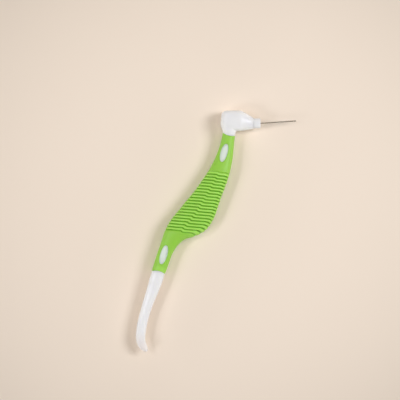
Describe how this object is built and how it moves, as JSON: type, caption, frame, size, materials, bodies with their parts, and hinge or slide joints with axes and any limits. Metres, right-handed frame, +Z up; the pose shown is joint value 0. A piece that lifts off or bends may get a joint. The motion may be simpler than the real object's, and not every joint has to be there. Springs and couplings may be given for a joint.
{
  "type": "angled interdental brush",
  "caption": "Angled interdental brush: white core with side head and curved tail pick, soft ribbed green grip with oval windows, and a pull-out wire brush refill.",
  "frame": {"origin": "under the middle of the brush's bounding box, on the surface that it lies on", "axes": "+Y along the handle from the tail pick to the head, +X across it to the side that the wire points to, +Z up through its thickness"},
  "size_m": [0.041, 0.1199, 0.009],
  "materials": {
    "core_white": "glossy white polypropylene, slightly translucent",
    "grip_green": "satin apple-green thermoplastic elastomer, moulded ribs",
    "hub_white": "glossy white polypropylene",
    "wire_steel": "dull drawn stainless wire",
    "bristle_nylon": "fine translucent nylon filament"
  },
  "bodies": {
    "handle": {"handle_core": "core_white", "grip_sleeve": "grip_green"},
    "refill": {"refill_hub": "hub_white", "twisted_wire": "wire_steel", "bristles": "bristle_nylon"}
  },
  "joints": [
    {"name": "refill_pull", "type": "slide", "parent": "handle", "child": "refill", "axis": [0.9455, 0.3256, 0], "range_m": [0, 0.009]}
  ]
}
